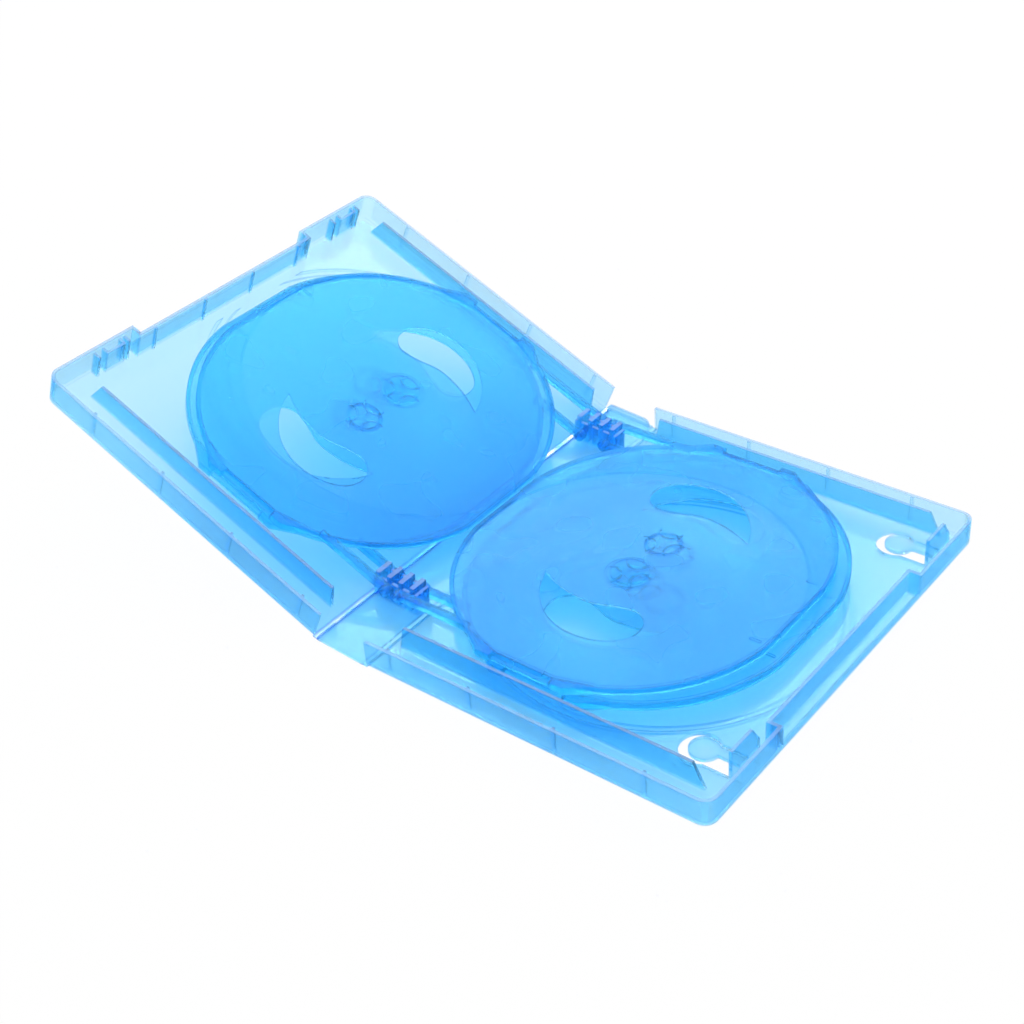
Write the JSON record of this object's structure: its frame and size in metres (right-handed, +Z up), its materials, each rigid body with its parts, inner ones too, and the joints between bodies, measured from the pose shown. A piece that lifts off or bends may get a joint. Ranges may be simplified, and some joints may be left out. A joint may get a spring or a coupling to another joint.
{
  "type": "disc storage case",
  "caption": "Translucent plastic disc case lying open: covers on living hinges along a narrow spine, with oval hinged disc trays stacked over each cover",
  "frame": {"origin": "on the floor under the middle of the spine", "axes": "+X to the right cover, +Y along the spine to the back edge, +Z up out of the open case"},
  "size_m": [0.2849, 0.1714, 0.0577],
  "materials": {
    "blue_polypropylene": "satin"
  },
  "bodies": {
    "spine": {"spine": "blue_polypropylene", "right_hinge_web": "blue_polypropylene", "left_hinge_web": "blue_polypropylene"},
    "right_cover": {"right_cover": "blue_polypropylene"},
    "left_cover": {"left_cover": "blue_polypropylene"},
    "right_inner_tray": {"right_inner_tray": "blue_polypropylene"},
    "right_outer_tray": {"right_outer_tray": "blue_polypropylene"},
    "left_inner_tray": {"left_inner_tray": "blue_polypropylene"},
    "left_outer_tray": {"left_outer_tray": "blue_polypropylene"}
  },
  "joints": [
    {"name": "right_cover_hinge", "type": "hinge", "parent": "spine", "child": "right_cover", "pos_m": [0.0113, 0, 0.0004], "axis": [0, -1, 0], "range_deg": [-4.2, 85.8], "deforming": ["right_hinge_web"]},
    {"name": "right_inner_tray_hinge", "type": "hinge", "parent": "spine", "child": "right_inner_tray", "pos_m": [0.0026, 0, 0.0077], "axis": [0, -1, 0], "range_deg": [-4.2, 85.8]},
    {"name": "right_outer_tray_hinge", "type": "hinge", "parent": "spine", "child": "right_outer_tray", "pos_m": [0.0057, 0, 0.0053], "axis": [0, -1, 0], "range_deg": [-4.2, 85.8]},
    {"name": "left_cover_hinge", "type": "hinge", "parent": "spine", "child": "left_cover", "pos_m": [-0.0113, 0, 0.0004], "axis": [0, 1, 0], "range_deg": [-19.8, 70.2], "deforming": ["left_hinge_web"]},
    {"name": "left_inner_tray_hinge", "type": "hinge", "parent": "spine", "child": "left_inner_tray", "pos_m": [-0.0026, 0, 0.0077], "axis": [0, 1, 0], "range_deg": [-19.8, 70.2]},
    {"name": "left_outer_tray_hinge", "type": "hinge", "parent": "spine", "child": "left_outer_tray", "pos_m": [-0.0057, 0, 0.0053], "axis": [0, 1, 0], "range_deg": [-19.8, 70.2]}
  ],
  "couplings": [
    {"joint": "right_inner_tray_hinge", "follows": "right_cover_hinge", "ratio": 1},
    {"joint": "right_outer_tray_hinge", "follows": "right_cover_hinge", "ratio": 1},
    {"joint": "left_inner_tray_hinge", "follows": "left_cover_hinge", "ratio": 1},
    {"joint": "left_outer_tray_hinge", "follows": "left_cover_hinge", "ratio": 1}
  ]
}
